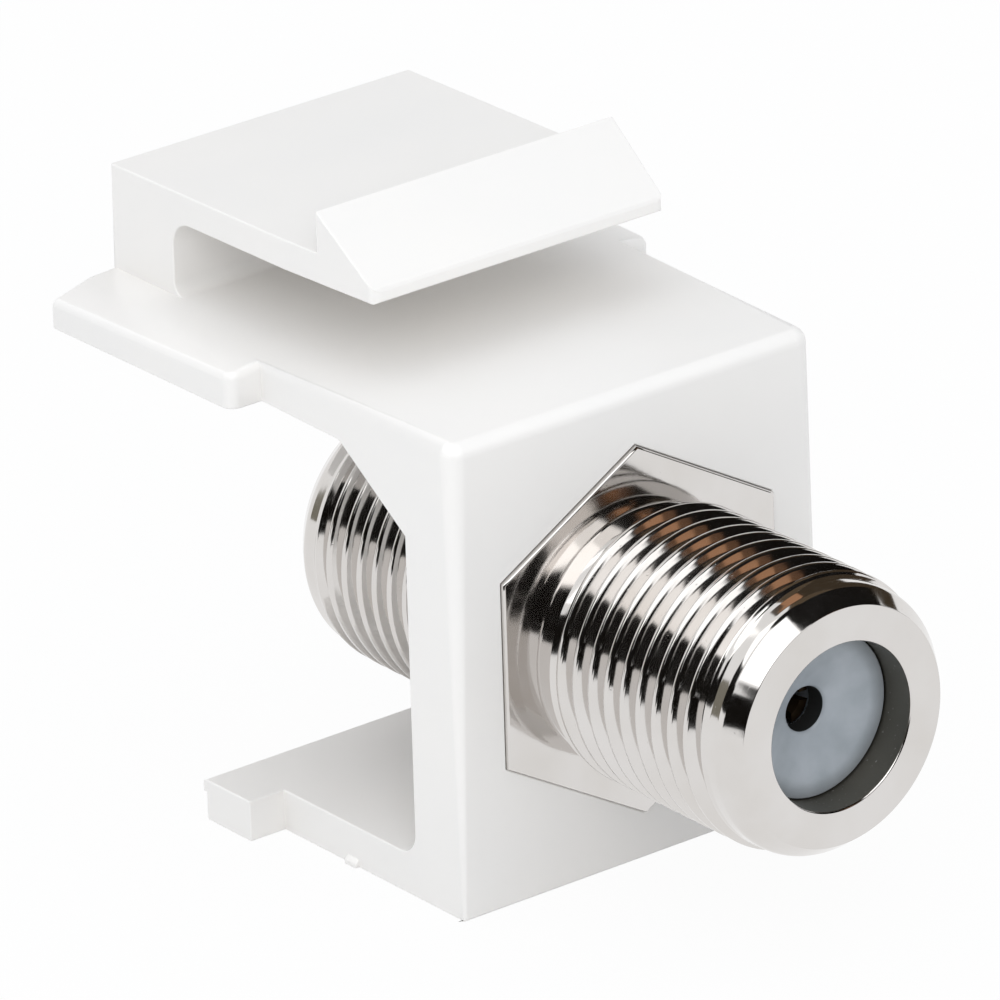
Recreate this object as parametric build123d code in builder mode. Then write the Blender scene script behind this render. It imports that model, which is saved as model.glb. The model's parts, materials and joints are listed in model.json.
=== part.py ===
from build123d import *
import os
from math import cos, radians, tan

# Snap-in keystone insert that carries a double-ended F coaxial coupler. All sizes are in millimetres.
# The origin is where the coupler's axis crosses the front face of the housing. X is the width,
# the front port points along -Y, and +Z is up, towards the snap latch.

# Housing: a C-shaped frame of one moulding, open at both sides and at the rear
body_width = 14.8
body_top = 8.35
body_bottom = 8.02
front_wall = 2.5
top_depth = 19.25
top_plate_root = 1.49
top_plate_tip = 1.28
gusset_length = 3.3
gusset_drop = 2.26
bottom_depth = 11.9
bottom_plate = 1.42
bottom_lip = 0.17
bottom_lip_height = 0.45
inner_corner_radius = 0.8
gusset_radius = 0.6
side_edge_radius = 0.55
top_rim_radius = 0.45
bottom_edge_radius = 0.1

# Ears: the stops that the insert draws up to behind its panel
top_ear_front = 9.8
top_ear_reach = 1.25
top_ear_flare = 0.3
top_ear_setback = 0.35
top_ear_fall = 0.28
ear_corner_radius = 0.45
bottom_ear_front = 9.4
bottom_ear_reach = 1.4
ear_edge_radius = 0.18

# Snap latch: a block on the top plate, a thin arm that springs from it and a wedge across its end
latch_width = 12.26
latch_rise = 3.62
latch_block = 3.25
slot_upper_radius = 0.9
slot_lower_radius = 0.45
arm_thickness = 1.05
arm_lift_angle = 0.8
latch_taper = 0.2
latch_taper_length = 4.4
wedge_setback = 5.64
wedge_ramp = 2.76
wedge_height = 1.5
wedge_nose = 0.6
wedge_nose_radius = 0.1
wedge_corner_radius = 0.3
wedge_crest_radius = 0.08

# Coupler body: turned from hexagonal bar, with a thread for a plug's nut at both ends
thread_diameter = 9.42
front_reach = 10.1
rear_reach = 12.4
hex_across_flats = 11.1
hex_thickness = 1.8
hex_proud = 0.15
hex_edge_break = 0.08
hex_clearance = 0.04
shank_diameter = 9.6
relief_diameter = 8.5
relief_width = 0.85
rear_relief_width = 1.3
relief_chamfer = 0.2
nose_diameter = 9.04
nose_length = 1.15
nose_radius = 0.5
port_diameter = 5.64
rear_bore_diameter = 6.4
web_hole_diameter = 3.6
web_thickness = 1.2
web_middle = -0.9

# Insulators, with a funnel that guides a cable's centre wire into the contact
insulator_recess = 1.25
funnel_depth = 0.6
funnel_mouth_diameter = 4.4
wire_hole_diameter = 1.5
wire_hole_length = 0.7
contact_room = 0.2

# Centre contact: one spring tube for both ports, slotted into tines at both ends
contact_diameter = 1.9
contact_wall = 0.3
contact_collar_diameter = 2.9
contact_end_gap = 0.15
tine_length = 3.6
tine_slot = 0.3
tine_pinch = 0.26
tine_pinch_length = 1.4
tine_flare_length = 0.5
tines_per_end = 4

# Bushing that holds the rear insulator
bushing_length = 2.2

# What is pressed into a bore stands this far off its wall all round
seat_clearance = 0.01

half_body = body_width / 2
half_latch = latch_width / 2
top_plate_under = body_top - top_plate_root
bottom_plate_top = bottom_plate - body_bottom
slot_end = top_depth - latch_block
hinge_line = slot_end - slot_upper_radius
arm_top_rear = body_top + latch_rise


def arm_top(depth):
    """Height of the latch arm's top face, which rises a little towards its free front end."""
    return arm_top_rear + (top_depth - depth) * tan(radians(arm_lift_angle))


def arm_under(depth):
    """Height of the latch arm's underside."""
    return arm_top(depth) - arm_thickness / cos(radians(arm_lift_angle))


def corner(sketch, along, up):
    """The sketch's vertex nearest to a point of its own plane."""
    return sketch.vertices().sort_by_distance((along, up))[0]


# Outline of the housing from above: the lower half is shorter and has square ears
with BuildPart() as outline:
    ear_front_half = half_body + top_ear_reach
    ear_rear_half = ear_front_half + top_ear_flare
    with BuildSketch(Plane.XY):
        with BuildLine():
            Polyline(
                (0, 0),
                (half_body, 0),
                (half_body, top_ear_front),
                (ear_front_half, top_ear_front),
                (ear_rear_half, top_depth - top_ear_setback),
                (half_latch, top_depth),
                (0, top_depth),
                close=True,
            )
        make_face()
        mirror(about=Plane.YZ)
    extrude(amount=body_top)
    with BuildSketch(Plane.XY):
        with BuildLine():
            Polyline(
                (0, 0),
                (half_body, 0),
                (half_body, bottom_ear_front),
                (half_body + bottom_ear_reach, bottom_ear_front),
                (half_body + bottom_ear_reach, bottom_depth),
                (0, bottom_depth),
                close=True,
            )
        make_face()
        mirror(about=Plane.YZ)
    extrude(amount=-body_bottom)

with BuildPart() as housing:
    # Side profile: the front wall between the tapered top plate with its gusset and the bottom plate
    with BuildSketch(Plane.YZ) as side_profile:
        with BuildLine():
            Polyline(
                (0, -body_bottom),
                (0, body_top),
                (top_depth, body_top),
                (top_depth, body_top - top_plate_tip),
                (front_wall + gusset_length, top_plate_under),
                (front_wall, top_plate_under - gusset_drop),
                (front_wall, bottom_plate_top),
                (bottom_depth, bottom_plate_top),
                (bottom_depth, bottom_plate_top - bottom_lip_height),
                (bottom_depth - bottom_lip, bottom_plate_top - bottom_lip_height),
                (bottom_depth - bottom_lip, -body_bottom),
                close=True,
            )
        make_face()
        fillet(corner(side_profile, front_wall, bottom_plate_top), inner_corner_radius)
        fillet(corner(side_profile, front_wall + gusset_length, top_plate_under), gusset_radius)
    extrude(amount=ear_rear_half + bottom_ear_reach, both=True)
    add(outline.part, mode=Mode.INTERSECT)

    # Rounded front corners, and the rim of the top face between the ears
    front_edges = housing.edges().group_by(Axis.Y)[0]
    fillet(front_edges.filter_by(Axis.Z), side_edge_radius)
    top_face = housing.faces().sort_by(Axis.Z)[-1]
    fillet(top_face.edges().filter_by(lambda e: e.center().Y < top_ear_front - 1), top_rim_radius)
    fillet(housing.faces().sort_by(Axis.Y)[0].edges().sort_by(Axis.Z)[0], bottom_edge_radius)

    # The upper ears: rounded front corners, and top faces that fall away outwards
    ear_corners = housing.edges().filter_by(Axis.Z).filter_by(
        lambda e: e.center().Z > 0 and abs(abs(e.center().X) - ear_front_half) < ear_edge_radius
    )
    fillet(ear_corners, ear_corner_radius)
    with BuildSketch(Plane.XZ.offset(-top_ear_front)):
        with BuildLine():
            Polyline(
                (half_body, body_top),
                (ear_rear_half, body_top),
                (ear_rear_half, body_top - top_ear_fall),
                close=True,
            )
        make_face()
        mirror(about=Plane.YZ)
    extrude(amount=-(top_depth - top_ear_front), mode=Mode.SUBTRACT)
    ear_edges = housing.edges().filter_by(
        lambda e: abs(e.center().X) > ear_front_half and e.center().Z > body_top - 2 * top_ear_fall
    )
    fillet(ear_edges, ear_edge_radius)

    # Block that the latch arm springs from, with a rounded slot end and a fillet onto the plate
    with BuildSketch(Plane.YZ) as block_profile:
        with BuildLine():
            Polyline(
                (top_depth, body_top - top_plate_tip / 2),
                (top_depth, arm_top_rear),
                (hinge_line, arm_top(hinge_line)),
                (hinge_line, arm_under(hinge_line)),
                (slot_end, arm_under(hinge_line)),
                (slot_end, body_top),
                (hinge_line, body_top),
                (hinge_line, body_top - top_plate_tip / 2),
                close=True,
            )
        make_face()
        fillet(corner(block_profile, slot_end, body_top), slot_lower_radius)
        slot_corner = corner(block_profile, slot_end, arm_under(hinge_line))
        fillet(slot_corner, slot_upper_radius - seat_clearance)
    extrude(amount=half_latch, both=True)

    # Hexagonal pocket for the coupler's flange, and the round hole for its shank
    with BuildSketch(Plane.XZ):
        RegularPolygon(hex_across_flats / 2 + hex_clearance, 6, major_radius=False, rotation=30)
    extrude(amount=-(hex_thickness - hex_proud), mode=Mode.SUBTRACT)
    with BuildSketch(Plane.XZ):
        Circle(shank_diameter / 2 + seat_clearance)
    extrude(amount=-front_wall, mode=Mode.SUBTRACT)

housing.part.label = "housing"

with BuildPart() as latch:
    wedge_rear = wedge_setback + wedge_ramp
    with BuildSketch(Plane.YZ) as latch_profile:
        with BuildLine():
            Polyline(
                (hinge_line, arm_under(hinge_line)),
                (hinge_line, arm_top(hinge_line)),
                (wedge_rear, arm_top(wedge_rear)),
                (wedge_rear, arm_top(wedge_rear) + wedge_height),
                (wedge_setback, arm_top(wedge_setback) - wedge_nose),
                (wedge_setback, arm_under(wedge_setback)),
                close=True,
            )
        make_face()
        fillet(corner(latch_profile, wedge_setback, arm_under(wedge_setback)), wedge_nose_radius)
        crest = arm_top(wedge_rear) + wedge_height
        fillet(corner(latch_profile, wedge_rear, crest), wedge_crest_radius)
    extrude(amount=half_latch, both=True)

    # The sides draw in a little towards the nose, whose upright corners are rounded
    taper_end = wedge_setback + latch_taper_length
    with BuildSketch(Plane.XY.offset(arm_under(taper_end) - arm_thickness)):
        with BuildLine():
            Polyline(
                (half_latch - latch_taper, wedge_setback),
                (half_latch, taper_end),
                (half_latch + latch_taper, wedge_setback),
                close=True,
            )
        make_face()
        mirror(about=Plane.YZ)
    extrude(amount=2 * arm_thickness + 2 * wedge_height, mode=Mode.SUBTRACT)
    nose_corners = latch.faces().sort_by(Axis.Y)[0].edges().filter_by(Axis.Z)
    fillet(nose_corners, wedge_corner_radius)

latch.part.label = "latch"

# Places along the coupler's axis
hex_front = -hex_proud
hex_rear = hex_thickness - hex_proud
rear_relief_end = front_wall + rear_relief_width
web_front = web_middle - web_thickness / 2
web_rear = web_middle + web_thickness / 2
nose_front_end = nose_length - front_reach
nose_rear_end = rear_reach - nose_length
thread_radius = thread_diameter / 2
relief_radius = relief_diameter / 2
port_radius = port_diameter / 2
rear_bore_radius = rear_bore_diameter / 2

with BuildPart() as coupler_body:
    with BuildSketch(Plane.XY) as body_profile:
        with BuildLine():
            Polyline(
                (port_radius, -front_reach),
                (nose_diameter / 2, -front_reach),
                (nose_diameter / 2, nose_front_end),
                (thread_radius, nose_front_end),
                (thread_radius, hex_front - relief_width - relief_chamfer),
                (relief_radius, hex_front - relief_width + relief_chamfer),
                (relief_radius, hex_front),
                (shank_diameter / 2, hex_front),
                (shank_diameter / 2, front_wall),
                (relief_radius, front_wall),
                (relief_radius, rear_relief_end - relief_chamfer),
                (thread_radius, rear_relief_end + relief_chamfer),
                (thread_radius, nose_rear_end),
                (nose_diameter / 2, nose_rear_end),
                (nose_diameter / 2, rear_reach),
                (rear_bore_radius, rear_reach),
                (rear_bore_radius, web_rear),
                (web_hole_diameter / 2, web_rear),
                (web_hole_diameter / 2, web_front),
                (port_radius, web_front),
                close=True,
            )
        make_face()
        fillet(corner(body_profile, nose_diameter / 2, -front_reach), nose_radius)
        fillet(corner(body_profile, nose_diameter / 2, rear_reach), nose_radius)
    revolve(axis=Axis.Y)
    with BuildSketch(Plane.XZ.offset(hex_proud)):
        RegularPolygon(hex_across_flats / 2, 6, major_radius=False, rotation=30)
        Circle(relief_radius, mode=Mode.SUBTRACT)
    extrude(amount=-hex_thickness)
    hex_rims = coupler_body.edges().filter_by(
        lambda e: e.geom_type == GeomType.LINE and abs(e.center().Y - hex_front) < hex_edge_break
    )
    chamfer(hex_rims, hex_edge_break)

coupler_body.part.label = "coupler_body"

wire_hole = wire_hole_diameter / 2
contact_radius = contact_diameter / 2
contact_cavity = contact_radius + contact_room
front_wire_hole = insulator_recess + funnel_depth - front_reach
front_cavity_end = front_wire_hole + wire_hole_length
rear_wire_hole = rear_reach - insulator_recess - funnel_depth
rear_cavity_end = rear_wire_hole - wire_hole_length

with BuildPart() as front_insulator:
    with BuildSketch(Plane.XY):
        with BuildLine():
            Polyline(
                (port_radius - seat_clearance, insulator_recess - front_reach),
                (port_radius - seat_clearance, web_front),
                (contact_cavity, web_front),
                (contact_cavity, front_cavity_end),
                (wire_hole, front_cavity_end),
                (wire_hole, front_wire_hole),
                (funnel_mouth_diameter / 2, insulator_recess - front_reach),
                close=True,
            )
        make_face()
    revolve(axis=Axis.Y)

front_insulator.part.label = "front_insulator"

with BuildPart() as rear_insulator:
    with BuildSketch(Plane.XY):
        with BuildLine():
            Polyline(
                (port_radius - seat_clearance, rear_reach - insulator_recess),
                (port_radius - seat_clearance, rear_reach - bushing_length),
                (rear_bore_radius - seat_clearance, rear_reach - bushing_length),
                (rear_bore_radius - seat_clearance, web_rear),
                (contact_cavity, web_rear),
                (contact_cavity, rear_cavity_end),
                (wire_hole, rear_cavity_end),
                (wire_hole, rear_wire_hole),
                (funnel_mouth_diameter / 2, rear_reach - insulator_recess),
                close=True,
            )
        make_face()
    revolve(axis=Axis.Y)

rear_insulator.part.label = "rear_insulator"

with BuildPart() as centre_contact:
    # Spring tube: each end narrows to a pinch that grips the wire and flares out again
    contact_front = front_cavity_end + contact_end_gap
    contact_rear = rear_cavity_end - contact_end_gap
    grip_radius = contact_radius - tine_pinch
    flare_radius = contact_radius - tine_pinch / 2
    front_pinch = contact_front + tine_flare_length
    rear_pinch = contact_rear - tine_flare_length
    with BuildSketch(Plane.XY):
        with BuildLine():
            Polyline(
                (flare_radius, contact_front),
                (grip_radius, front_pinch),
                (contact_radius, front_pinch + tine_pinch_length),
                (contact_radius, web_front),
                (contact_collar_diameter / 2, web_front),
                (contact_collar_diameter / 2, web_rear),
                (contact_radius, web_rear),
                (contact_radius, rear_pinch - tine_pinch_length),
                (grip_radius, rear_pinch),
                (flare_radius, contact_rear),
                (flare_radius - contact_wall, contact_rear),
                (grip_radius - contact_wall, rear_pinch),
                (contact_radius - contact_wall, rear_pinch - tine_pinch_length),
                (contact_radius - contact_wall, front_pinch + tine_pinch_length),
                (grip_radius - contact_wall, front_pinch),
                (flare_radius - contact_wall, contact_front),
                close=True,
            )
        make_face()
    revolve(axis=Axis.Y)
    for end, towards in ((contact_front, -1), (contact_rear, 1)):
        with BuildSketch(Plane.XZ.offset(-end)):
            with PolarLocations(0, tines_per_end // 2, angular_range=180):
                Rectangle(2 * contact_diameter, tine_slot)
        extrude(amount=towards * tine_length, mode=Mode.SUBTRACT)

centre_contact.part.label = "centre_contact"

with BuildPart() as rear_bushing:
    with BuildSketch(Plane.XZ.offset(-rear_reach)):
        Circle(rear_bore_radius - seat_clearance)
        Circle(port_radius, mode=Mode.SUBTRACT)
    extrude(amount=bushing_length)

rear_bushing.part.label = "rear_bushing"

os.makedirs("parts", exist_ok=True)
export_step(housing.part, "parts/housing.step")
export_step(latch.part, "parts/latch.step")
export_step(coupler_body.part, "parts/coupler_body.step")
export_step(front_insulator.part, "parts/front_insulator.step")
export_step(rear_insulator.part, "parts/rear_insulator.step")
export_step(centre_contact.part, "parts/centre_contact.step")
export_step(rear_bushing.part, "parts/rear_bushing.step")
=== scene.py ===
import json
from math import atan2, ceil, cos, floor, pi, radians, sin, sqrt, tan

import bmesh
import bpy
from mathutils import Matrix, Vector

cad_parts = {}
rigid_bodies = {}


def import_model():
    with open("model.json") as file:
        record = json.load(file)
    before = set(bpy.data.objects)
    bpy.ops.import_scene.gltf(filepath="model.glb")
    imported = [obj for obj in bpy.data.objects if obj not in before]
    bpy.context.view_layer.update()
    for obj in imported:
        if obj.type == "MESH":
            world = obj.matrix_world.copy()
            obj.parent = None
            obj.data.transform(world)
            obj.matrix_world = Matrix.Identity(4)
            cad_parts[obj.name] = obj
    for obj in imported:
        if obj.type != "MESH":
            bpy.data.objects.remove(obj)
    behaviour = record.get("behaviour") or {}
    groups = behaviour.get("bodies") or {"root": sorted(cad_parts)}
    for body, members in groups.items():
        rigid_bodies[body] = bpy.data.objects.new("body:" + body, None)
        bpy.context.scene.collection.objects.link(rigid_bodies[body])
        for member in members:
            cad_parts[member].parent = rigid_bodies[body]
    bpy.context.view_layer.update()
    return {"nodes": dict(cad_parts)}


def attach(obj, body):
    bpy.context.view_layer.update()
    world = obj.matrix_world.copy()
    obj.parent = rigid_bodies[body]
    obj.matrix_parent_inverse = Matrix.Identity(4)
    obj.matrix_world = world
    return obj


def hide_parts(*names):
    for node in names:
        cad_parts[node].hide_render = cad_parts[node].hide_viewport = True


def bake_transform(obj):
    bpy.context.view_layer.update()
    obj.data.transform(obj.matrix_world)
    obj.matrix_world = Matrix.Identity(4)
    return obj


# Looks of a snap-in keystone insert with a double-ended F coaxial coupler.
# Meshes are built in millimetres and scaled to metres at the end. X is the width, the front port
# points along -Y and +Z is up. The main sizes below repeat those of the CAD model; the thread's
# section, the gate mark and most rounded edges are only here.

MM = 0.001

# Housing
HALF_BODY = 7.4
BODY_TOP = 8.35
BODY_BOTTOM = -8.02
FRONT_WALL = 2.5
TOP_DEPTH = 19.25
TOP_ROOT_UNDER = 6.86
TOP_TIP_UNDER = 7.07
GUSSET_END = 5.8
GUSSET_FOOT = 4.6
BOTTOM_DEPTH = 11.9
BOTTOM_TOP = -6.6
BOTTOM_LIP = 0.17
BOTTOM_LIP_HEIGHT = 0.45
INNER_RADIUS = 0.8
GUSSET_RADIUS = 0.6
CORNER_RADIUS_LOW = 0.12
CORNER_RADIUS_HIGH = 0.62

# Housing's ears, corners, edges and gate mark
TOP_EAR_FRONT = 9.8
TOP_EAR_REACH = 1.25
TOP_EAR_FLARE = 0.3
TOP_EAR_SETBACK = 0.35
TOP_EAR_FALL = 0.28
EAR_CORNER_RADIUS = 0.45
BOTTOM_EAR_FRONT = 9.4
BOTTOM_EAR_REACH = 1.4
RIM_BEVEL = 0.5
FOOT_BEVEL = 0.1
LIP_BEVEL = 0.22
WEDGE_END_BEVEL = 0.3
WEDGE_NOSE_BEVEL = 0.1
OTHER_BEVEL = 0.06
BEVEL_STEPS = 5
GATE_OUT = 0.16
GATE_HEIGHT = 0.3
GATE_UPRIGHT = 0.6
GATE_ROOT = 0.1
GATE_PLACE = (5.5, 6.1)

# Latch
HALF_LATCH = 6.13
ARM_TOP_REAR = 11.97
ARM_LIFT = tan(radians(0.8))
ARM_THICKNESS = 1.05
SLOT_END = 16.0
SLOT_UPPER_RADIUS = 0.9
SLOT_LOWER_RADIUS = 0.45
HINGE_LINE = 15.1
BLEND_END = 12.7
LATCH_TAPER = 0.2
LATCH_TAPER_LENGTH = 4.4
WEDGE_FRONT = 5.64
WEDGE_REAR = 8.4
WEDGE_HEIGHT = 1.44
WEDGE_NOSE = 0.6
LATCH_FOOT = 8

# Coupler: flange
HEX_FLATS = 11.1
HEX_PROUD = 0.15
HEX_THICKNESS = 1.8
HEX_CLEARANCE = 0.012
HEX_BREAK = 0.09
RELIEF_FILLET = 0.12
SHANK_RADIUS = 4.8
SHANK_HOLE_SIDES = 96
PRESS_GAP = 0.01

# Coupler: ports and threads
FRONT_REACH = 10.1
REAR_REACH = 12.4
NOSE_LENGTH = 1.15
NOSE_RADIUS = 4.52
NOSE_CONE = 0.47
NOSE_CONE_LENGTH = 0.68
NOSE_BLEND = 0.5
NOSE_RIM_IN = 0.03
NOSE_RIM_BACK = 0.02
PORT_RADIUS = 2.82
REAR_BORE_RADIUS = 3.2
WEB_HOLE_RADIUS = 1.8
WEB_FRONT = -1.5
WEB_REAR = -0.3
CREST_RADIUS = 4.7
ROOT_RADIUS = 4.24
RELIEF_RADIUS = 4.25
PITCH = 0.79375
CREST_AT = -1.598
CREST_ANGLE = 148.9
RELIEF_WIDTH = 0.85
REAR_RELIEF_WIDTH = 1.3
RELIEF_CHAMFER = 0.2
THREAD_RUNOUT = 0.5
MOUTH_BREAK = 0.08
INSULATOR_RECESS = 1.25
INSULATOR_BREAK = 0.06
FUNNEL_DEPTH = 0.6
WIRE_HOLE = 0.75
WIRE_HOLE_LENGTH = 0.7
CAVITY_RADIUS = 1.15
BUSHING_LENGTH = 2.2
BUSHING_BREAK_OUTSIDE = 0.08
BUSHING_BREAK_INSIDE = 0.1

# Mesh work: how near counts as the same place, the margin that tells one edge from its neighbours,
# how far a cutter reaches past what it cuts, the angles below which a face is flat and above which
# an edge is rounded, and the fineness
NEAR = 0.01
MERGE = 1e-4
MARGIN = 0.1
PAST = 1
FLAT_ANGLE = radians(0.3)
EDGE_ANGLE = radians(20)
SEGMENTS = 144
CORNER_STEPS = 8
MOUTH_STEPS = 3
NOSE_STEPS = 5
BLEND_STEPS = 6

# Sky, floor and cards; the floor's reach is in metres, and a card's column in degrees
SKY_LEVEL = 0.655
SKY_SLOPE = (-0.04, -0.06, 0.5)
SKY_COLOUR = (0.975, 1.0, 1.035)
FLOOR_REACH = 3
FLOOR_GLOW = 0.95
FLOOR_PAPER = 0.78
FLOOR_GAP = 0.01
CARD_DISTANCE = 600
CARD_COLUMN = 10
CARD_ROWS = 6

# Thread section over one pitch: place in pitches from the crest, share of the full depth
THREAD_SECTION = (
    (-0.5, 0.0),
    (-0.43, 0.02),
    (-0.375, 0.11),
    (-0.165, 0.79),
    (-0.11, 0.94),
    (-0.05, 1.0),
    (0.05, 1.0),
    (0.11, 0.94),
    (0.165, 0.79),
    (0.375, 0.11),
    (0.43, 0.02),
)

# Insulator's funnel: depth behind the face, and radius
FUNNEL_SECTION = (
    (0.012, 2.36),
    (0.06, 2.2),
    (0.18, 1.765),
    (0.36, 1.301),
    (0.516, 0.85),
    (0.62, 0.76),
    (0.66, 0.75),
)

# Soft lamps: name, place, size, power in watts and what they point at
LAMPS = (
    ("overhead", (-60, 20, 420), 240, 0.12, (0, 6, 8)),
    ("near_left", (-70, -75, 70), 60, 0.031, (0, 2, 0)),
)

# Cards that only gloss sees: name, azimuths, elevations, colour, strength and distance. Where two
# overlap, the nearer one shows.
DARK = (0.005, 0.004, 0.003)
OLIVE = (0.3, 0.28, 0.23)
BROWN = (0.05, 0.036, 0.022)
COPPER = (0.42, 0.22, 0.12)
WHITE = (1, 1, 1)
CARDS = (
    ("dark_low", (-70, 75), (-4, 21.5), DARK, 1, 640),
    ("dark_mid", (-60, -24), (21, 29), DARK, 1, 640),
    ("dark_near", (-60, 0), (-5.5, 0), DARK, 1, 85),
    ("dark_close", (-34, -12), (-9, 2), DARK, 1, 34),
    ("dark_right", (20, 95), (21, 62), DARK, 1, 640),
    ("dark_side", (-128, -80), (9, 43), DARK, 1, 640),
    ("dark_left", (-80, -70), (-4, 29), DARK, 1, 640),
    ("dark_top", (2, 95), (62, 76), DARK, 1, 640),
    ("dark_cap", (-180, 180), (76, 90), DARK, 1, 640),
    ("dark_crest", (-141, -124), (-1, 21), OLIVE, 0.75, 640),
    ("brown_rear", (95, 176), (8, 50), BROWN, 1, 640),
    ("brown_high", (95, 162), (50, 76), BROWN, 2, 640),
    ("copper_rear", (150, 172), (33, 46), COPPER, 1, 620),
    ("softbox", (-7, 18), (21.5, 60), WHITE, 1.5),
    ("softbox_high", (-66, -7), (31, 60), WHITE, 2.2),
    ("softbox_top", (-66, 2), (60.5, 72), WHITE, 2),
    ("side_light", (-165, -88), (44, 75), WHITE, 1.7),
    ("copper_dim", (22, 45), (21.5, 34), COPPER, 0.3, 630),
    ("copper_card", (28, 38), (23, 31), COPPER, 1),
)


def link(obj):
    bpy.context.scene.collection.objects.link(obj)
    return obj


def mesh_object(name, bm):
    bmesh.ops.recalc_face_normals(bm, faces=bm.faces)
    mesh = bpy.data.meshes.new(name)
    bm.to_mesh(mesh)
    bm.free()
    return link(bpy.data.objects.new(name, mesh))


def remove(obj):
    mesh = obj.data
    bpy.data.objects.remove(obj)
    bpy.data.meshes.remove(mesh)


def bake_modifiers(obj):
    """Replaces the object's mesh by what its modifiers make of it."""
    graph = bpy.context.evaluated_depsgraph_get()
    graph.update()
    mesh = bpy.data.meshes.new_from_object(obj.evaluated_get(graph), depsgraph=graph)
    old = obj.data
    obj.modifiers.clear()
    obj.data = mesh
    bpy.data.meshes.remove(old)
    mesh.name = obj.name


def combine(obj, other, operation):
    """Boolean of two solids; the second one is used up."""
    modifier = obj.modifiers.new(operation, "BOOLEAN")
    modifier.operation = operation
    modifier.solver = "EXACT"
    modifier.object = other
    bake_modifiers(obj)
    remove(other)


def rounded(points, radii):
    """The polygon with arcs of the given radii at its corners, as {corner index: radius}."""
    out = []
    count = len(points)
    for i, point in enumerate(points):
        here = Vector(point)
        radius = radii.get(i, 0)
        if not radius:
            out.append(here)
            continue
        to_last = (Vector(points[i - 1]) - here).normalized()
        to_next = (Vector(points[(i + 1) % count]) - here).normalized()
        half = to_last.angle(to_next) / 2
        centre = here + (to_last + to_next).normalized() * (radius / sin(half))
        first = here + to_last * (radius / tan(half)) - centre
        last = here + to_next * (radius / tan(half)) - centre
        start = atan2(first.y, first.x)
        sweep = atan2(first.x * last.y - first.y * last.x, first.dot(last))
        for k in range(CORNER_STEPS + 1):
            angle = start + sweep * k / CORNER_STEPS
            out.append(centre + Vector((cos(angle), sin(angle))) * radius)
    return out


def prism(name, points, axis, low, high):
    """A solid of the polygon's section, between two places on the axis it is drawn across."""
    bm = bmesh.new()
    place = {
        "X": lambda p, t: (t, p[0], p[1]),
        "Y": lambda p, t: (p[0], t, p[1]),
        "Z": lambda p, t: (p[0], p[1], t),
    }[axis]
    near = [bm.verts.new(place(p, low)) for p in points]
    far = [bm.verts.new(place(p, high)) for p in points]
    bm.faces.new(near)
    bm.faces.new(far)
    count = len(points)
    for i in range(count):
        j = (i + 1) % count
        bm.faces.new((near[i], near[j], far[j], far[i]))
    return mesh_object(name, bm)


def arm_top(depth):
    return ARM_TOP_REAR + (TOP_DEPTH - depth) * ARM_LIFT


def arm_under(depth):
    return arm_top(depth) - ARM_THICKNESS


def circle(radius, count):
    angles = [2 * pi * i / count for i in range(count)]
    return [(radius * cos(a), radius * sin(a)) for a in angles]


def hexagon(flats):
    """Corners of a hexagon with one corner up, from the size across its flats."""
    reach = flats / sqrt(3)
    angles = [radians(30 + 60 * i) for i in range(6)]
    return [(reach * cos(a), reach * sin(a)) for a in angles]


def corner_waste(side):
    """What is taken off an upright front corner, whose rounding widens towards the top."""
    bm = bmesh.new()
    rows = []
    for height, radius in ((BODY_BOTTOM, CORNER_RADIUS_LOW), (BODY_TOP, CORNER_RADIUS_HIGH)):
        arc = [
            (HALF_BODY - radius * (1 - sin(radians(a))), radius * (1 - cos(radians(a))))
            for a in range(0, 91, 9)
        ]
        past = HALF_BODY + PAST
        section = [(HALF_BODY - radius, -PAST)] + arc + [(past, radius), (past, -PAST)]
        rows.append([bm.verts.new((side * x, y, height)) for x, y in section])
    bm.faces.new(rows[0])
    bm.faces.new(rows[1])
    for i in range(len(rows[0])):
        bm.faces.new((rows[0][i - 1], rows[0][i], rows[1][i], rows[1][i - 1]))
    return mesh_object("corner_waste", bm)


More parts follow.
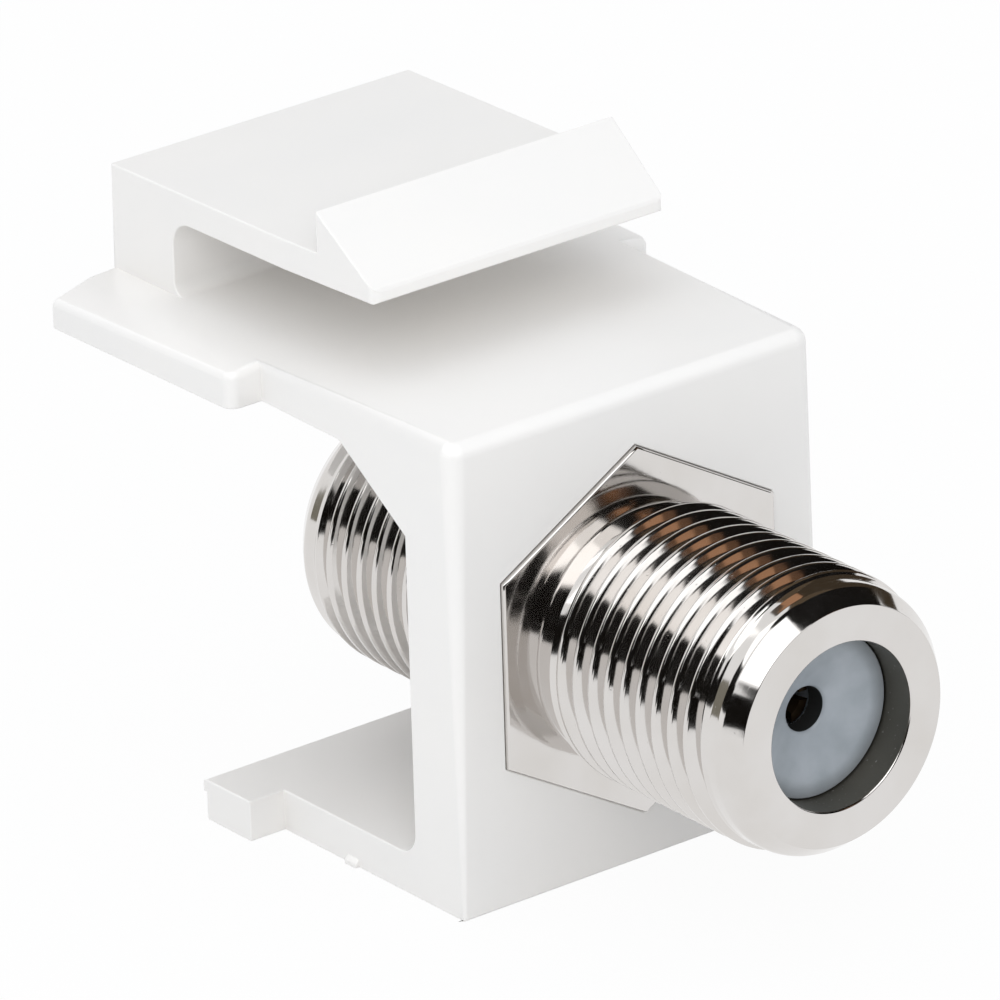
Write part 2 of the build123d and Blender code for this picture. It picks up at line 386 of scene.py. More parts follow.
def moulding():
    """The housing with its latch, as one sharp-edged solid."""
    wide = HALF_BODY + 3 * PAST
    frame_side = rounded(
        [
            (0, BODY_BOTTOM),
            (0, BODY_TOP),
            (TOP_DEPTH, BODY_TOP),
            (TOP_DEPTH, TOP_TIP_UNDER),
            (GUSSET_END, TOP_ROOT_UNDER),
            (FRONT_WALL, GUSSET_FOOT),
            (FRONT_WALL, BOTTOM_TOP),
            (BOTTOM_DEPTH, BOTTOM_TOP),
            (BOTTOM_DEPTH, BOTTOM_TOP - BOTTOM_LIP_HEIGHT),
            (BOTTOM_DEPTH - BOTTOM_LIP, BOTTOM_TOP - BOTTOM_LIP_HEIGHT),
            (BOTTOM_DEPTH - BOTTOM_LIP, BODY_BOTTOM),
        ],
        {4: GUSSET_RADIUS, 6: INNER_RADIUS},
    )
    body = prism("body", frame_side, "X", -wide, wide)
    front = HALF_BODY + TOP_EAR_REACH
    rear = front + TOP_EAR_FLARE
    top_half = rounded(
        [
            (HALF_BODY, -PAST),
            (HALF_BODY, TOP_EAR_FRONT),
            (front, TOP_EAR_FRONT),
            (rear, TOP_DEPTH - TOP_EAR_SETBACK),
            (HALF_LATCH, TOP_DEPTH),
        ],
        {2: EAR_CORNER_RADIUS},
    )
    top_plan = top_half + [(-x, y) for x, y in reversed(top_half)]
    low_half = [
        (HALF_BODY, -PAST),
        (HALF_BODY, BOTTOM_EAR_FRONT),
        (HALF_BODY + BOTTOM_EAR_REACH, BOTTOM_EAR_FRONT),
        (HALF_BODY + BOTTOM_EAR_REACH, BOTTOM_DEPTH + PAST),
    ]
    low_plan = low_half + [(-x, y) for x, y in reversed(low_half)]
    plan = prism("plan", top_plan, "Z", 0, BODY_TOP + PAST)
    combine(plan, prism("low", low_plan, "Z", BODY_BOTTOM - PAST, 0), "UNION")
    combine(body, plan, "INTERSECT")
    beyond = rear + PAST
    ear_fall = TOP_EAR_FALL * (beyond - HALF_BODY) / (rear - HALF_BODY)
    for side in (-1, 1):
        combine(body, corner_waste(side), "DIFFERENCE")
        fall = [
            (side * HALF_BODY, BODY_TOP),
            (side * beyond, BODY_TOP),
            (side * beyond, BODY_TOP - ear_fall),
        ]
        wedge = prism("fall", fall, "Y", TOP_EAR_FRONT - PAST, TOP_DEPTH + PAST)
        combine(body, wedge, "DIFFERENCE")
    latch_side = rounded(
        [
            (TOP_DEPTH, LATCH_FOOT),
            (TOP_DEPTH, arm_top(TOP_DEPTH)),
            (WEDGE_REAR, arm_top(WEDGE_REAR)),
            (WEDGE_REAR, arm_top(WEDGE_REAR) + WEDGE_HEIGHT),
            (WEDGE_FRONT, arm_top(WEDGE_FRONT) - WEDGE_NOSE),
            (WEDGE_FRONT, arm_under(WEDGE_FRONT)),
            (SLOT_END, arm_under(SLOT_END)),
            (SLOT_END, LATCH_FOOT),
        ],
        {6: SLOT_UPPER_RADIUS},
    )
    latch = prism("latch", latch_side, "X", -HALF_LATCH, HALF_LATCH)
    taper_past = LATCH_TAPER * (1 + PAST / LATCH_TAPER_LENGTH)
    for side in (-1, 1):
        taper = [
            (side * (HALF_LATCH - LATCH_TAPER), WEDGE_FRONT),
            (side * HALF_LATCH, WEDGE_FRONT + LATCH_TAPER_LENGTH),
            (side * (HALF_LATCH + PAST), WEDGE_FRONT + LATCH_TAPER_LENGTH),
            (side * (HALF_LATCH + PAST), WEDGE_FRONT - PAST),
            (side * (HALF_LATCH - taper_past), WEDGE_FRONT - PAST),
        ]
        sliver = prism("taper", taper, "Z", BODY_TOP + PAST, ARM_TOP_REAR + 3 * PAST)
        combine(latch, sliver, "DIFFERENCE")
    combine(body, latch, "UNION")
    arc = [
        (
            SLOT_END - SLOT_LOWER_RADIUS * (1 - cos(radians(a))),
            BODY_TOP + SLOT_LOWER_RADIUS * (1 - sin(radians(a))),
        )
        for a in (0, 15, 30, 45, 60, 75, 90)
    ]
    in_block = SLOT_END + 0.5
    in_plate = BODY_TOP - 0.3
    corner_fill = (
        [(in_block, in_plate), (in_block, BODY_TOP + SLOT_LOWER_RADIUS)]
        + arc
        + [(SLOT_END - SLOT_LOWER_RADIUS, in_plate)]
    )
    combine(body, prism("fill", corner_fill, "X", -HALF_LATCH, HALF_LATCH), "UNION")
    rim = hexagon(HEX_FLATS + 2 * HEX_CLEARANCE)
    combine(body, prism("pocket", rim, "Y", -PAST, HEX_THICKNESS - HEX_PROUD), "DIFFERENCE")
    shank = circle(SHANK_RADIUS + PRESS_GAP, SHANK_HOLE_SIDES)
    combine(body, prism("hole", shank, "Y", -PAST, FRONT_WALL + PAST), "DIFFERENCE")
    combine(body, gate_nub(), "UNION")
    return body


def gate_nub():
    """Rest of the moulding gate on the lower left edge."""
    out = -HALF_BODY - GATE_OUT
    root = -HALF_BODY + GATE_ROOT
    section = [
        (root, BODY_BOTTOM),
        (out, BODY_BOTTOM),
        (out, BODY_BOTTOM + GATE_HEIGHT * GATE_UPRIGHT),
        (-HALF_BODY, BODY_BOTTOM + GATE_HEIGHT),
        (root, BODY_BOTTOM + GATE_HEIGHT),
    ]
    return prism("gate", section, "Y", *GATE_PLACE)


def bevel_width(low, high):
    """How far an edge of the moulding is rounded, from its lowest and highest corner."""
    middle = (low + high) / 2
    if abs(middle.z - BODY_TOP) < NEAR and middle.y < TOP_EAR_FRONT - MARGIN:
        return RIM_BEVEL
    if middle.y < NEAR and middle.z < BODY_BOTTOM + NEAR:
        return FOOT_BEVEL
    if abs(middle.y - BOTTOM_DEPTH) < NEAR and abs(middle.z - BOTTOM_TOP) < NEAR:
        return LIP_BEVEL
    if abs(middle.x) > HALF_BODY + 2 * MARGIN and middle.z > BODY_TOP - TOP_EAR_FALL - MARGIN:
        return LIP_BEVEL
    if abs(middle.y - WEDGE_FRONT) < NEAR:
        return WEDGE_END_BEVEL if high.z - low.z > 2 * MARGIN else WEDGE_NOSE_BEVEL
    return OTHER_BEVEL


def soften(obj):
    """Rounds the convex edges of the moulding, each by its own width."""
    bm = bmesh.new()
    bm.from_mesh(obj.data)
    bmesh.ops.remove_doubles(bm, verts=bm.verts, dist=MERGE)
    bmesh.ops.dissolve_limit(bm, angle_limit=FLAT_ANGLE, verts=bm.verts, edges=bm.edges)
    weights = bm.edges.layers.float.new("bevel_weight_edge")
    for edge in bm.edges:
        if len(edge.link_faces) != 2 or edge.calc_face_angle_signed() < EDGE_ANGLE:
            continue
        one, two = (v.co for v in edge.verts)
        width = bevel_width(Vector(map(min, one, two)), Vector(map(max, one, two)))
        edge[weights] = width / RIM_BEVEL
    bm.to_mesh(obj.data)
    bm.free()
    bevel = obj.modifiers.new("soft_edges", "BEVEL")
    bevel.limit_method = "WEIGHT"
    bevel.offset_type = "OFFSET"
    bevel.width = RIM_BEVEL
    bevel.segments = BEVEL_STEPS
    bevel.use_clamp_overlap = False
    bevel.loop_slide = True
    bake_modifiers(obj)


def cut(bm, faces, depth):
    """Cuts these faces across the depth."""
    edges = {e for f in faces for e in f.edges}
    verts = {v for f in faces for v in f.verts}
    bmesh.ops.bisect_plane(
        bm,
        geom=list(verts) + list(edges) + list(faces),
        dist=MERGE,
        plane_co=(0, depth, 0),
        plane_no=(0, 1, 0),
    )


def connected(start):
    """All vertices that edges join to this one."""
    found = {start}
    front = [start]
    while front:
        for edge in front.pop().link_edges:
            for vert in edge.verts:
                if vert not in found:
                    found.add(vert)
                    front.append(vert)
    return found


def split_latch(obj):
    """Parts the latch's arm from the moulding at its root, closes both and returns the arm."""
    bm = bmesh.new()
    bm.from_mesh(obj.data)
    above = arm_under(HINGE_LINE) - NEAR
    arm_faces = [
        f
        for f in bm.faces
        if any(v.co.y < HINGE_LINE + 10 * MERGE and v.co.z > above for v in f.verts)
    ]
    cut(bm, arm_faces, HINGE_LINE)
    seam = [
        e
        for e in bm.edges
        if all(abs(v.co.y - HINGE_LINE) < 3 * MERGE and v.co.z > above for v in e.verts)
    ]
    bmesh.ops.split_edges(bm, edges=seam)
    above_wedge = Vector((0, WEDGE_REAR, arm_top(WEDGE_REAR) + 2))
    tip = min(bm.verts, key=lambda v: (v.co - above_wedge).length)
    bm.verts.index_update()
    arm = {v.index for v in connected(tip)}
    copy = bm.copy()
    bmesh.ops.delete(bm, geom=[v for v in bm.verts if v.index in arm], context="VERTS")
    bmesh.ops.delete(copy, geom=[v for v in copy.verts if v.index not in arm], context="VERTS")
    for half in (bm, copy):
        rim = [e for e in half.edges if e.is_boundary]
        bmesh.ops.contextual_create(half, geom=rim)
    for step in range(1, BLEND_STEPS + 1):
        cut(copy, list(copy.faces), HINGE_LINE + (BLEND_END - HINGE_LINE) * step / BLEND_STEPS)
    bmesh.ops.recalc_face_normals(bm, faces=bm.faces)
    bm.to_mesh(obj.data)
    bm.free()
    return mesh_object("latch_arm", copy)


def finish_mesh(obj, sharp, weight=90):
    """Smooth shading that keeps flat faces flat, then the change from millimetres to metres.

    An edge stays sharp from the angle sharp on, in degrees.
    """
    mesh = obj.data
    bm = bmesh.new()
    bm.from_mesh(mesh)
    for face in bm.faces:
        face.smooth = True
    for edge in bm.edges:
        if len(edge.link_faces) == 2 and edge.calc_face_angle() > radians(sharp):
            edge.smooth = False
    bm.to_mesh(mesh)
    bm.free()
    weighted = obj.modifiers.new("weighted", "WEIGHTED_NORMAL")
    weighted.mode = "FACE_AREA"
    weighted.weight = weight
    weighted.keep_sharp = True
    bake_modifiers(obj)
    obj.data.transform(Matrix.Scale(MM, 4))
    return obj


def ring(depth, radius):
    """One ring of a turned shape; the radius is a number or a function of the angle in degrees."""
    size = radius if callable(radius) else (lambda degrees: radius)
    out = []
    for i in range(SEGMENTS):
        degrees = 360 * i / SEGMENTS
        r = size(degrees)
        out.append((r * cos(radians(degrees)), depth, r * sin(radians(degrees))))
    return out


def arc_rings(depth, radius, size, start, end):
    """Rings along an arc of the turned profile round (depth, radius); 0 degrees is outwards."""
    out = []
    for k in range(MOUTH_STEPS + 1):
        a = radians(start + (end - start) * k / MOUTH_STEPS)
        out.append(ring(depth + size * sin(a), radius + size * cos(a)))
    return out


def nose_profile():
    """Depths behind the port's face and radii, from its rim over the cone to the cylinder."""
    tilt = atan2(NOSE_CONE, NOSE_CONE_LENGTH)
    reach = NOSE_BLEND * tan(tilt / 2)
    rim = NOSE_RADIUS - NOSE_CONE
    out = [(0, rim - NOSE_RIM_IN), (NOSE_RIM_BACK, rim)]
    for k in range(NOSE_STEPS + 1):
        a = tilt * (1 - k / NOSE_STEPS)
        out.append(
            (
                NOSE_CONE_LENGTH + reach - NOSE_BLEND * sin(a),
                NOSE_RADIUS - NOSE_BLEND * (1 - cos(a)),
            )
        )
    return out


def turn(bm, rings, closed=False):
    """Skins rings one after another."""
    rows = [[bm.verts.new(p) for p in points] for points in rings]
    pairs = list(zip(rows, rows[1:]))
    if closed:
        pairs.append((rows[-1], rows[0]))
    for one, two in pairs:
        for i in range(SEGMENTS):
            j = (i + 1) % SEGMENTS
            bm.faces.new((one[i], one[j], two[j], two[i]))


def thread(bm, start, start_radius, end, end_radius, limit):
    """A right-hand thread between two places on the axis, where it closes onto plain rings."""
    per_turn = len(THREAD_SECTION)
    first = floor((start - CREST_AT) / PITCH) - 2
    last = ceil((end - CREST_AT) / PITCH) + 2
    rows = []
    for turn_number in range(first, last + 1):
        for along, share in THREAD_SECTION:
            row = []
            for i in range(SEGMENTS):
                degrees = 360 * i / SEGMENTS
                depth = CREST_AT + PITCH * (turn_number + along - (degrees - CREST_ANGLE) / 360)
                radius = limit(depth, ROOT_RADIUS + (CREST_RADIUS - ROOT_RADIUS) * share)
                if depth <= start:
                    depth, radius = start, start_radius
                elif depth >= end:
                    depth, radius = end, end_radius
                angle = radians(degrees)
                row.append(bm.verts.new((radius * cos(angle), depth, radius * sin(angle))))
            rows.append(row)
    for j in range(per_turn, len(rows) - 1):
        for i in range(SEGMENTS - 1):
            bm.faces.new((rows[j][i], rows[j][i + 1], rows[j + 1][i + 1], rows[j + 1][i]))
        bm.faces.new(
            (
                rows[j][-1],
                rows[j - per_turn][0],
                rows[j + 1 - per_turn][0],
                rows[j + 1][-1],
            )
        )


def smooth_step(t):
    t = min(max(t, 0.0), 1.0)
    return t * t * (3 - 2 * t)


def mix(a, b, t):
    return a + (b - a) * t


def hex_radius(inset):
    """Distance of the hexagon's rim from the axis at an angle, with corners up and down."""
    return lambda degrees: (HEX_FLATS / 2 - inset) / cos(radians((degrees + 30) % 60 - 30))


def coupler():
    """The turned body: both ports, both threads and the hexagonal flange, as one closed skin."""
    bm = bmesh.new()
    front_nose = -FRONT_REACH + NOSE_LENGTH
    rear_nose = REAR_REACH - NOSE_LENGTH
    front_run = -HEX_PROUD - RELIEF_WIDTH + RELIEF_CHAMFER
    rear_run = FRONT_WALL + REAR_RELIEF_WIDTH - RELIEF_CHAMFER
    slope = (CREST_RADIUS - RELIEF_RADIUS) / (2 * RELIEF_CHAMFER)

    def front_limit(depth, radius):
        radius = min(radius, RELIEF_RADIUS + (front_run - depth) * slope)
        return mix(NOSE_RADIUS, radius, smooth_step((depth - front_nose) / THREAD_RUNOUT))

    def rear_limit(depth, radius):
        radius = min(radius, RELIEF_RADIUS + (depth - rear_run) * slope)
        return mix(NOSE_RADIUS, radius, smooth_step((rear_nose - depth) / THREAD_RUNOUT))

    thread(bm, front_nose, NOSE_RADIUS, front_run, RELIEF_RADIUS, front_limit)
    thread(bm, rear_run, RELIEF_RADIUS, rear_nose, NOSE_RADIUS, rear_limit)
    edge = MOUTH_BREAK
    front = [ring(WEB_FRONT, WEB_HOLE_RADIUS), ring(WEB_FRONT, PORT_RADIUS)]
    front += arc_rings(-FRONT_REACH + edge, PORT_RADIUS + edge, edge, -180, -90)
    front += [ring(-FRONT_REACH + d, r) for d, r in nose_profile()]
    front += [ring(front_nose, NOSE_RADIUS)]
    turn(bm, front)
    hex_front = -HEX_PROUD
    middle = [
        ring(front_run, RELIEF_RADIUS),
        ring(hex_front - RELIEF_FILLET, RELIEF_RADIUS),
        ring(hex_front - RELIEF_FILLET / 4, RELIEF_RADIUS + RELIEF_FILLET / 4),
        ring(hex_front, RELIEF_RADIUS + RELIEF_FILLET),
        ring(hex_front, hex_radius(HEX_BREAK)),
        ring(hex_front + HEX_BREAK / 3, hex_radius(HEX_BREAK / 3)),
        ring(hex_front + HEX_BREAK, hex_radius(0)),
        ring(HEX_THICKNESS - HEX_PROUD, hex_radius(0)),
        ring(HEX_THICKNESS - HEX_PROUD, SHANK_RADIUS),
        ring(FRONT_WALL, SHANK_RADIUS),
        ring(FRONT_WALL, RELIEF_RADIUS),
        ring(rear_run, RELIEF_RADIUS),
    ]
    turn(bm, middle)
    rear = [ring(rear_nose, NOSE_RADIUS)]
    rear += [ring(REAR_REACH - d, r) for d, r in reversed(nose_profile())]
    rear += arc_rings(REAR_REACH - edge, REAR_BORE_RADIUS + edge, edge, 90, 180)
    rear += [
        ring(WEB_REAR, REAR_BORE_RADIUS),
        ring(WEB_REAR, WEB_HOLE_RADIUS),
        ring(WEB_FRONT, WEB_HOLE_RADIUS),
    ]
    turn(bm, rear)
    bmesh.ops.remove_doubles(bm, verts=bm.verts, dist=MERGE)
    return mesh_object("coupler_shell", bm)


def insulator_rings(face, way, outer, inner_end, wide=None, step=None):
    """Section of an insulator from its recessed face inwards; way is +1 for the front port."""
    cavity = face + way * (FUNNEL_DEPTH + WIRE_HOLE_LENGTH)
    rings = [ring(face + way * INSULATOR_BREAK, outer), ring(face, outer - INSULATOR_BREAK)]
    rings += [ring(face + way * depth, radius) for depth, radius in FUNNEL_SECTION]
    rings += [
        ring(cavity, WIRE_HOLE),
        ring(cavity, CAVITY_RADIUS),
        ring(inner_end, CAVITY_RADIUS),
    ]
    if wide:
        rings += [ring(inner_end, wide), ring(step, wide), ring(step, outer)]
    else:
        rings += [ring(inner_end, outer)]
    return rings


def insulators():
    """The front and the rear insulator; the rear one has a wider part, which the bushing holds."""
    outer = PORT_RADIUS - PRESS_GAP
    front = bmesh.new()
    front_rings = insulator_rings(INSULATOR_RECESS - FRONT_REACH, 1, outer, WEB_FRONT)
    turn(front, front_rings, closed=True)
    rear = bmesh.new()
    wide = REAR_BORE_RADIUS - PRESS_GAP
    step = REAR_REACH - BUSHING_LENGTH
    rear_rings = insulator_rings(REAR_REACH - INSULATOR_RECESS, -1, outer, WEB_REAR, wide, step)
    turn(rear, rear_rings, closed=True)
    return mesh_object("front_dielectric", front), mesh_object("rear_dielectric", rear)


def bushing():
    """Ring in the rear port, which keeps the insulators and the contact in."""
    bm = bmesh.new()
    outer = REAR_BORE_RADIUS - PRESS_GAP
    low = REAR_REACH - BUSHING_LENGTH
    rings = [
        ring(low, outer),
        ring(REAR_REACH - BUSHING_BREAK_OUTSIDE, outer),
        ring(REAR_REACH, outer - BUSHING_BREAK_OUTSIDE),
        ring(REAR_REACH, PORT_RADIUS + BUSHING_BREAK_INSIDE),
        ring(REAR_REACH - BUSHING_BREAK_INSIDE, PORT_RADIUS),
        ring(low, PORT_RADIUS),
    ]
    turn(bm, rings, closed=True)
    return mesh_object("bushing_ring", bm)


class Nodes:
    """Small helper that adds and links the nodes of one material.

    Places are in metres, so a noise's scale is in cycles per metre.
    """

    def __init__(self, name):
        self.material = bpy.data.materials.new(name)
        self.material.use_nodes = True
        self.tree = self.material.node_tree
        self.tree.nodes.clear()
        self.shader = self.add("ShaderNodeBsdfPrincipled")
        output = self.add("ShaderNodeOutputMaterial")
        self.link(self.shader.outputs["BSDF"], output.inputs["Surface"])
        self.place = self.add("ShaderNodeTexCoord").outputs["Object"]

    def add(self, kind, **values):
        node = self.tree.nodes.new(kind)
        for key, value in values.items():
            setattr(node, key, value)
        return node

    def link(self, a, b):
        self.tree.links.new(a, b)

    def scaled(self, x, y, z):
        node = self.add("ShaderNodeMapping")
        node.inputs["Scale"].default_value = (x, y, z)
        self.link(self.place, node.inputs["Vector"])
        return node.outputs["Vector"]

    def noise(self, scale, detail=2.0, rough=0.5, vector=None):
        node = self.add("ShaderNodeTexNoise")
        node.inputs["Scale"].default_value = scale
        node.inputs["Detail"].default_value = detail
        node.inputs["Roughness"].default_value = rough
        self.link(vector or self.place, node.inputs["Vector"])
        return node.outputs["Fac"]

    def ramp(self, value, low, high, first, last):
        node = self.add("ShaderNodeMapRange")
        node.inputs["From Min"].default_value = low
        node.inputs["From Max"].default_value = high
        node.inputs["To Min"].default_value = first
        node.inputs["To Max"].default_value = last
        self.link(value, node.inputs["Value"])
        return node.outputs["Result"]

    def blend(self, factor, first, second):
        node = self.add("ShaderNodeMix", data_type="RGBA")
        colours = [s for s in node.inputs if s.type == "RGBA"]
        for socket, value in zip(colours, (first, second)):
            if isinstance(value, tuple):
                socket.default_value = (*value, 1)
            else:
                self.link(value, socket)
        self.link(factor, next(s for s in node.inputs if s.type == "VALUE"))
        return next(s for s in node.outputs if s.type == "RGBA")

    def bump(self, height, strength, distance, after=None):
        node = self.add("ShaderNodeBump")
        node.inputs["Strength"].default_value = strength
        node.inputs["Distance"].default_value = distance
        self.link(height, node.inputs["Height"])
        if after:
            self.link(after, node.inputs["Normal"])
        return node.outputs["Normal"]

    def set(self, name, value):
        socket = self.shader.inputs[name]
        if isinstance(value, tuple):
            socket.default_value = (*value, 1)
        elif isinstance(value, (int, float)):
            socket.default_value = value
        else:
            self.link(value, socket)


def white_plastic():
    """Moulded ABS: near white, a soft gloss, a faint orange-peel and a few rubbed places."""
    n = Nodes("white_abs")
    rubbed = n.ramp(n.noise(180, 2), 0.35, 0.65, 0, 1)
    n.set("Base Color", n.blend(rubbed, (0.865, 0.847, 0.822), (0.88, 0.859, 0.83)))
    grain = n.noise(4200, 3, 0.6)
    n.set("Roughness", n.ramp(grain, 0.3, 0.7, 0.33, 0.42))
    n.set("IOR", 1.53)
    peel = n.bump(n.noise(2600, 2), 0.1, 0.00002)
    n.set("Normal", n.bump(n.noise(14000, 2), 0.12, 0.000005, peel))
    return n.material


def nickel():
    """Bright nickel plate over turned brass, with turning marks and small pits."""
    n = Nodes("nickel_plate")
    stain = n.ramp(n.noise(420, 3), 0.3, 0.75, 0, 1)
    n.set("Base Color", n.blend(stain, (0.71, 0.69, 0.675), (0.66, 0.635, 0.61)))
    n.set("Metallic", 1.0)
    n.set("Roughness", n.ramp(n.noise(1500, 2, 0.6), 0.3, 0.75, 0.07, 0.12))
    marks = n.noise(60, 2, 0.5, n.scaled(6, 220, 6))
    pits = n.ramp(n.noise(9000, 1), 0.74, 0.8, 0, 1)
    n.set("Normal", n.bump(pits, 0.12, -0.00001, n.bump(marks, 0.08, 0.000004)))
    return n.material


def dielectric():
    """Milky blue-grey plastic with a satin face, with painted shade darkening its colour towards
    the rim in the recess.
    """
    n = Nodes("milky_dielectric")
    cloud = n.ramp(n.noise(900, 3), 0.3, 0.7, 0, 1)
    milk = n.blend(cloud, (0.33, 0.365, 0.395), (0.42, 0.455, 0.49))
    across = n.add("ShaderNodeVectorMath", operation="LENGTH")
    n.link(n.scaled(1, 0, 1), across.inputs[0])
    # painted shade: the colour darkens towards the outer rim, where the recessed face lies in
    # shade
    rim = n.ramp(across.outputs["Value"], 2.2 * MM, 2.8 * MM, 0, 0.55)
    n.set("Base Color", n.blend(rim, milk, (0.2, 0.215, 0.22)))
    n.set("Roughness", n.ramp(n.noise(3000, 2), 0.3, 0.7, 0.3, 0.42))
    n.set("IOR", 1.49)
    n.set("Normal", n.bump(n.noise(5000, 2), 0.15, 0.00001))
    return n.material


def bronze():
    """Spring bronze of the centre contact, darkened as painted shade of the contact deep in the
    wire hole.
    """
    n = Nodes("contact_bronze")
    n.set("Base Color", n.blend(n.noise(900, 2), (0.16, 0.11, 0.065), (0.11, 0.075, 0.045)))
    n.set("Metallic", 1.0)
    n.set("Roughness", n.ramp(n.noise(3000, 2), 0.3, 0.7, 0.35, 0.5))
    return n.material


def bore_metal_painted_shade():
    """Bare, dull metal of the ports' bores, its colour darkened as painted shade of the bores,
    with lighter flecks painted as glints.
    """
    n = Nodes("bore_metal_painted_shade")
    # painted glints: lighter flecks here and there on the bore metal
    painted_glint_spots = n.ramp(n.noise(7000, 2), 0.68, 0.76, 0, 1)
    n.set("Base Color", n.blend(painted_glint_spots, (0.2, 0.185, 0.155), (0.46, 0.44, 0.4)))
    n.set("Metallic", 1.0)
    n.set("Roughness", 0.42)
    n.set("Normal", n.bump(n.noise(5200, 2), 0.12, 0.00001))
    return n.material


def hole_painted_shade():
    """Painted shade: a near black colour on the wall of the wire hole."""
    n = Nodes("hole_painted_shade")
    n.set("Base Color", (0.02, 0.021, 0.021))
    n.set("Roughness", 0.6)
    return n.material


def from_axis(face):
    """Distance of a face's middle from the coupler's axis, in metres."""
    return sqrt(face.center.x ** 2 + face.center.z ** 2)


def dress(obj, material):
    obj.data.materials.clear()
    obj.data.materials.append(material)
    return obj


def camera():
    """The photograph's view, solved from the housing's edges and the coupler's circles."""
    azimuth, elevation, roll = (radians(a) for a in (-37.678, 23.458, -1.753))
    distance, along, above, lens = 410.84, -4.46, 4.132, 463.187
    back = Vector(
        (sin(azimuth) * cos(elevation), -cos(azimuth) * cos(elevation), sin(elevation))
    )
    level = Vector((cos(azimuth), sin(azimuth), 0))
    upright = back.cross(level)
    right = level * cos(roll) + upright * sin(roll)
    up = upright * cos(roll) - level * sin(roll)
    data = bpy.data.cameras.new("camera")
    data.lens = lens
    data.sensor_width = 36
    data.clip_start, data.clip_end = 0.02, 20
    obj = link(bpy.data.objects.new("camera", data))
    place = (right * along + up * above + back * distance) * MM
    turned = Matrix((right, up, back)).transposed().to_4x4()
    obj.matrix_world = Matrix.Translation(place) @ turned
    bpy.context.scene.camera = obj


def lamp(name, place, size, power, aim):
    """A square soft lamp; place, size and aim in millimetres, power in watts."""
    data = bpy.data.lights.new(name, "AREA")
    data.shape = "SQUARE"
    data.size = size * MM
    data.energy = power
    obj = link(bpy.data.objects.new(name, data))
    obj.location = Vector(place) * MM
    obj.rotation_mode = "QUATERNION"
    obj.rotation_quaternion = (Vector(aim) - Vector(place)).to_track_quat("-Z", "Y")
    obj.visible_glossy = False


def card(name, azimuths, elevations, colour, strength, distance=CARD_DISTANCE):
    """A curved studio card round the object that only gloss sees.

    Azimuth 0 is in front of the port and grows towards +X, in degrees; distance in millimetres.
    """
    bm = bmesh.new()
    rows = []
    columns = max(2, ceil((azimuths[1] - azimuths[0]) / CARD_COLUMN))
    for i in range(columns + 1):
        azimuth = radians(mix(*azimuths, i / columns))
        row = []
        for k in range(CARD_ROWS + 1):
            elevation = radians(mix(*elevations, k / CARD_ROWS))
            level = distance * cos(elevation)
            place = (level * sin(azimuth), -level * cos(azimuth), distance * sin(elevation))
            row.append(bm.verts.new(Vector(place) * MM))
        rows.append(row)
    for one, two in zip(rows, rows[1:]):
        for k in range(CARD_ROWS):
            bm.faces.new((one[k], two[k], two[k + 1], one[k + 1]))
    obj = mesh_object(name, bm)
    material = bpy.data.materials.new(name)
    material.use_nodes = True
    tree = material.node_tree
    tree.nodes.clear()
    glow = tree.nodes.new("ShaderNodeEmission")
    glow.inputs["Color"].default_value = (*colour, 1)
    glow.inputs["Strength"].default_value = strength
    output = tree.nodes.new("ShaderNodeOutputMaterial")
    tree.links.new(glow.outputs["Emission"], output.inputs["Surface"])
    dress(obj, material)
    obj.visible_camera = False
    obj.visible_diffuse = False
    obj.visible_shadow = False
    obj.visible_transmission = False
    obj.visible_volume_scatter = False


def background_seen(tree):
    """1 for what the camera, gloss and glass look at, 0 for light."""
    path = tree.nodes.new("ShaderNodeLightPath")
    total = path.outputs["Is Camera Ray"]
    for name in ("Is Glossy Ray", "Is Transmission Ray"):
        either = tree.nodes.new("ShaderNodeMath")
        either.operation = "MAXIMUM"
        tree.links.new(total, either.inputs[0])
        tree.links.new(path.outputs[name], either.inputs[1])
        total = either.outputs[0]
    return total


def world():
    """A white background, and a soft sky as light that is brighter from above."""
    made = bpy.data.worlds.new("studio")
    bpy.context.scene.world = made
    made.use_nodes = True
    tree = made.node_tree
    tree.nodes.clear()
    slope = tree.nodes.new("ShaderNodeVectorMath")
    slope.operation = "DOT_PRODUCT"
    slope.inputs[1].default_value = SKY_SLOPE
    tree.links.new(tree.nodes.new("ShaderNodeTexCoord").outputs["Generated"], slope.inputs[0])
    level = tree.nodes.new("ShaderNodeMath")
    level.operation = "ADD"
    level.inputs[1].default_value = SKY_LEVEL
    tree.links.new(slope.outputs["Value"], level.inputs[0])
    light = tree.nodes.new("ShaderNodeBackground")
    light.inputs["Color"].default_value = (*SKY_COLOUR, 1)
    tree.links.new(level.outputs[0], light.inputs["Strength"])
    white = tree.nodes.new("ShaderNodeBackground")
    white.inputs["Color"].default_value = (1, 1, 1, 1)
    both = tree.nodes.new("ShaderNodeMixShader")
    tree.links.new(background_seen(tree), both.inputs[0])
    tree.links.new(light.outputs[0], both.inputs[1])
    tree.links.new(white.outputs[0], both.inputs[2])
    output = tree.nodes.new("ShaderNodeOutputWorld")
    tree.links.new(both.outputs[0], output.inputs["Surface"])


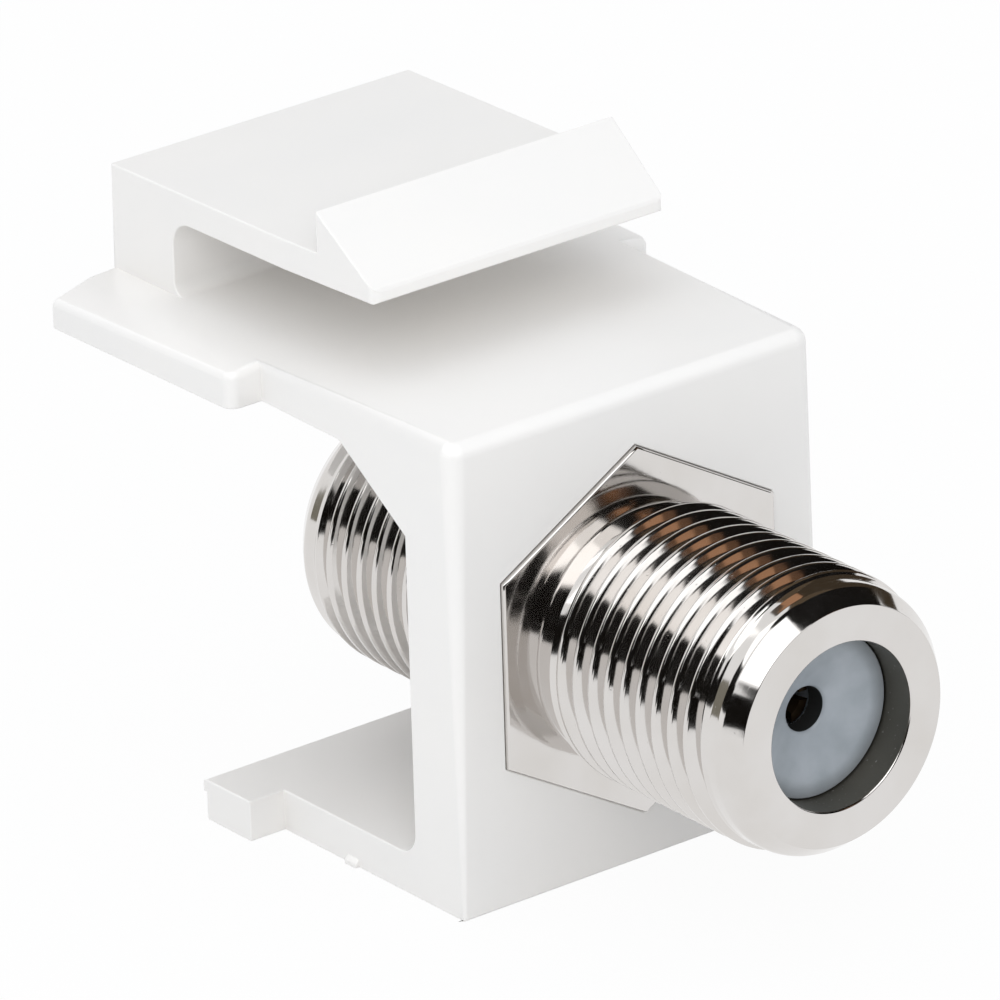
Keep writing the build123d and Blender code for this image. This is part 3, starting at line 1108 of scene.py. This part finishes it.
def floor_plane():
    """Pale floor just under the housing, which keeps its shadow."""
    bm = bmesh.new()
    bmesh.ops.create_grid(bm, x_segments=1, y_segments=1, size=FLOOR_REACH)
    obj = mesh_object("studio_floor", bm)
    obj.location = (0, 0, (BODY_BOTTOM - FLOOR_GAP) * MM)
    material = bpy.data.materials.new("studio_floor")
    material.use_nodes = True
    tree = material.node_tree
    tree.nodes.clear()
    share = tree.nodes.new("ShaderNodeMath")
    share.operation = "MULTIPLY"
    share.inputs[1].default_value = FLOOR_GLOW
    tree.links.new(background_seen(tree), share.inputs[0])
    paper = tree.nodes.new("ShaderNodeBsdfDiffuse")
    paper.inputs["Color"].default_value = (FLOOR_PAPER, FLOOR_PAPER, FLOOR_PAPER, 1)
    glow = tree.nodes.new("ShaderNodeEmission")
    glow.inputs["Strength"].default_value = 1.0
    both = tree.nodes.new("ShaderNodeMixShader")
    tree.links.new(share.outputs[0], both.inputs[0])
    tree.links.new(paper.outputs[0], both.inputs[1])
    tree.links.new(glow.outputs[0], both.inputs[2])
    output = tree.nodes.new("ShaderNodeOutputMaterial")
    tree.links.new(both.outputs[0], output.inputs["Surface"])
    dress(obj, material)


for leftover in list(bpy.data.objects):
    bpy.data.objects.remove(leftover)
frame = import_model()
bpy.context.scene.view_settings.view_transform = "Standard"

white = white_plastic()
plate = nickel()
milky = dielectric()

housing = moulding()
soften(housing)
arm = split_latch(housing)
for piece in (housing, arm):
    finish_mesh(piece, sharp=35)
    dress(piece, white)
housing.name = housing.data.name = "housing_moulding"
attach(housing, "housing")
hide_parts("housing")
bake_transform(arm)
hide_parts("latch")

shell = dress(finish_mesh(coupler(), sharp=40, weight=50), plate)
# The bore walls get the metal whose dark colour is painted shade.
shell.data.materials.append(bore_metal_painted_shade())
for face in shell.data.polygons:
    if from_axis(face) < (REAR_BORE_RADIUS + NEAR) * MM and abs(face.normal.y) < 0.5:
        face.material_index = 1
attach(shell, "housing")
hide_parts("coupler_body")

# Painted shade on the walls of the wire holes.
shade = hole_painted_shade()
for piece, node in zip(insulators(), ("front_insulator", "rear_insulator")):
    dress(finish_mesh(piece, sharp=50, weight=50), milky)
    piece.data.materials.append(shade)
    for face in piece.data.polygons:
        if from_axis(face) < (WIRE_HOLE + NEAR) * MM:
            face.material_index = 1
    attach(piece, "housing")
    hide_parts(node)

ring_piece = dress(finish_mesh(bushing(), sharp=50, weight=50), plate)
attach(ring_piece, "housing")
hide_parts("rear_bushing")

# The centre contact gets the bronze darkened as painted shade.
contact = frame["nodes"]["centre_contact"]
bronze_painted_shade = bronze()
if contact.material_slots:
    for place in contact.material_slots:
        place.material = bronze_painted_shade
else:
    contact.data.materials.append(bronze_painted_shade)

camera()
world()
floor_plane()
for lamp_values in LAMPS:
    lamp(*lamp_values)
for card_values in CARDS:
    card(*card_values)
